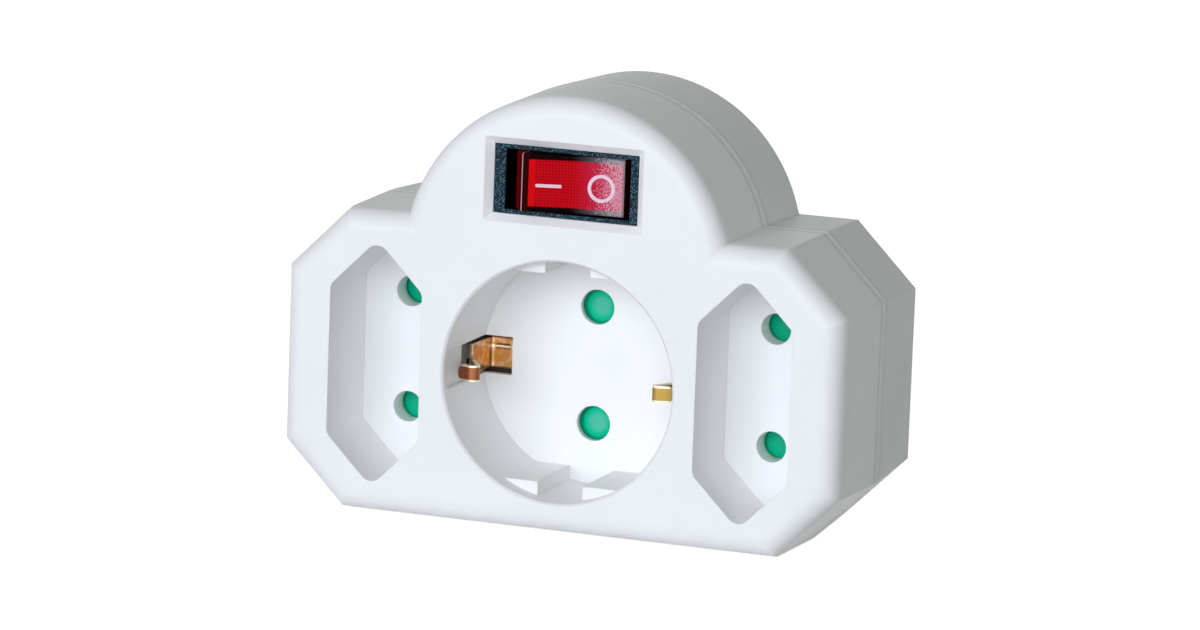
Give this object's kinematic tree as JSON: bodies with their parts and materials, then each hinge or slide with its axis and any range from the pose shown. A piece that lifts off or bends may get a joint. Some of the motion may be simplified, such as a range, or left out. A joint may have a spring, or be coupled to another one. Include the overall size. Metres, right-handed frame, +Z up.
{
  "type": "multi socket adapter",
  "caption": "Plug-in wall adapter with a round earthed socket, a flat socket on each side and a lit rocker switch above.",
  "frame": {"origin": "on the plug's axis, in the back face of the housing that bears on the wall outlet", "axes": "+X to the right seen from the user, +Y along the plug towards the wall, +Z up; the sockets face -Y"},
  "size_m": [0.0948, 0.0753, 0.0704],
  "materials": {
    "white_shell": "satin",
    "dark_carrier": "matte",
    "green_shutter": "satin",
    "brass": "satin",
    "plated_pin": "polished",
    "steel": "satin",
    "black_switch": "fine grain",
    "red_rocker": "translucent",
    "clear_glass": "clear",
    "resistor_body": "satin",
    "brown_insulation": "satin",
    "blue_insulation": "satin"
  },
  "bodies": {
    "housing": {"front_cover": "white_shell", "rear_cover": "white_shell", "contact_carrier": "dark_carrier", "round_shutter_spring": "steel", "left_shutter_spring": "steel", "right_shutter_spring": "steel", "line_busbar": "brass", "neutral_busbar": "brass", "earth_strap": "brass", "line_plug_pin": "plated_pin", "neutral_plug_pin": "plated_pin", "line_pin_tag": "brass", "housing_screws": "steel", "switch_housing": "black_switch", "switch_neutral_terminal": "brass", "switch_input_terminal": "brass", "switch_output_terminal": "brass", "line_lead_to_switch": "brown_insulation", "line_lead_to_busbar": "brown_insulation", "neutral_lead_to_lamp": "blue_insulation"},
    "rocker": {"switch_rocker": "red_rocker", "switch_plunger": "black_switch", "plunger_spring": "steel", "indicator_lamp": "clear_glass", "lamp_resistor": "resistor_body"},
    "lever": {"switch_lever": "brass"},
    "round_shutter": {"round_socket_shutter": "green_shutter"},
    "left_shutter": {"left_socket_shutter": "green_shutter"},
    "right_shutter": {"right_socket_shutter": "green_shutter"}
  },
  "joints": [
    {"name": "rocker_hinge", "type": "hinge", "parent": "housing", "child": "rocker", "pos_m": [0.0003, -0.0325, 0.0317], "axis": [0, 0, -1], "range_deg": [0, 22]},
    {"name": "lever_hinge", "type": "hinge", "parent": "housing", "child": "lever", "pos_m": [0.0003, -0.0255, 0.0317], "axis": [0, 0, 1], "range_deg": [0, 16]},
    {"name": "round_shutter_hinge", "type": "hinge", "parent": "housing", "child": "round_shutter", "pos_m": [0, -0.0187, 0], "axis": [0, 1, 0], "range_deg": [0, 42], "stiffness_Nm_per_rad": 0.0003},
    {"name": "left_shutter_hinge", "type": "hinge", "parent": "housing", "child": "left_shutter", "pos_m": [-0.0312, -0.0187, 0], "axis": [0, 1, 0], "range_deg": [0, 38], "stiffness_Nm_per_rad": 0.0003},
    {"name": "right_shutter_hinge", "type": "hinge", "parent": "housing", "child": "right_shutter", "pos_m": [0.0312, -0.0187, 0], "axis": [0, 1, 0], "range_deg": [0, 38], "stiffness_Nm_per_rad": 0.0003}
  ],
  "couplings": [
    {"joint": "lever_hinge", "follows": "rocker_hinge", "ratio": 0.72727}
  ]
}
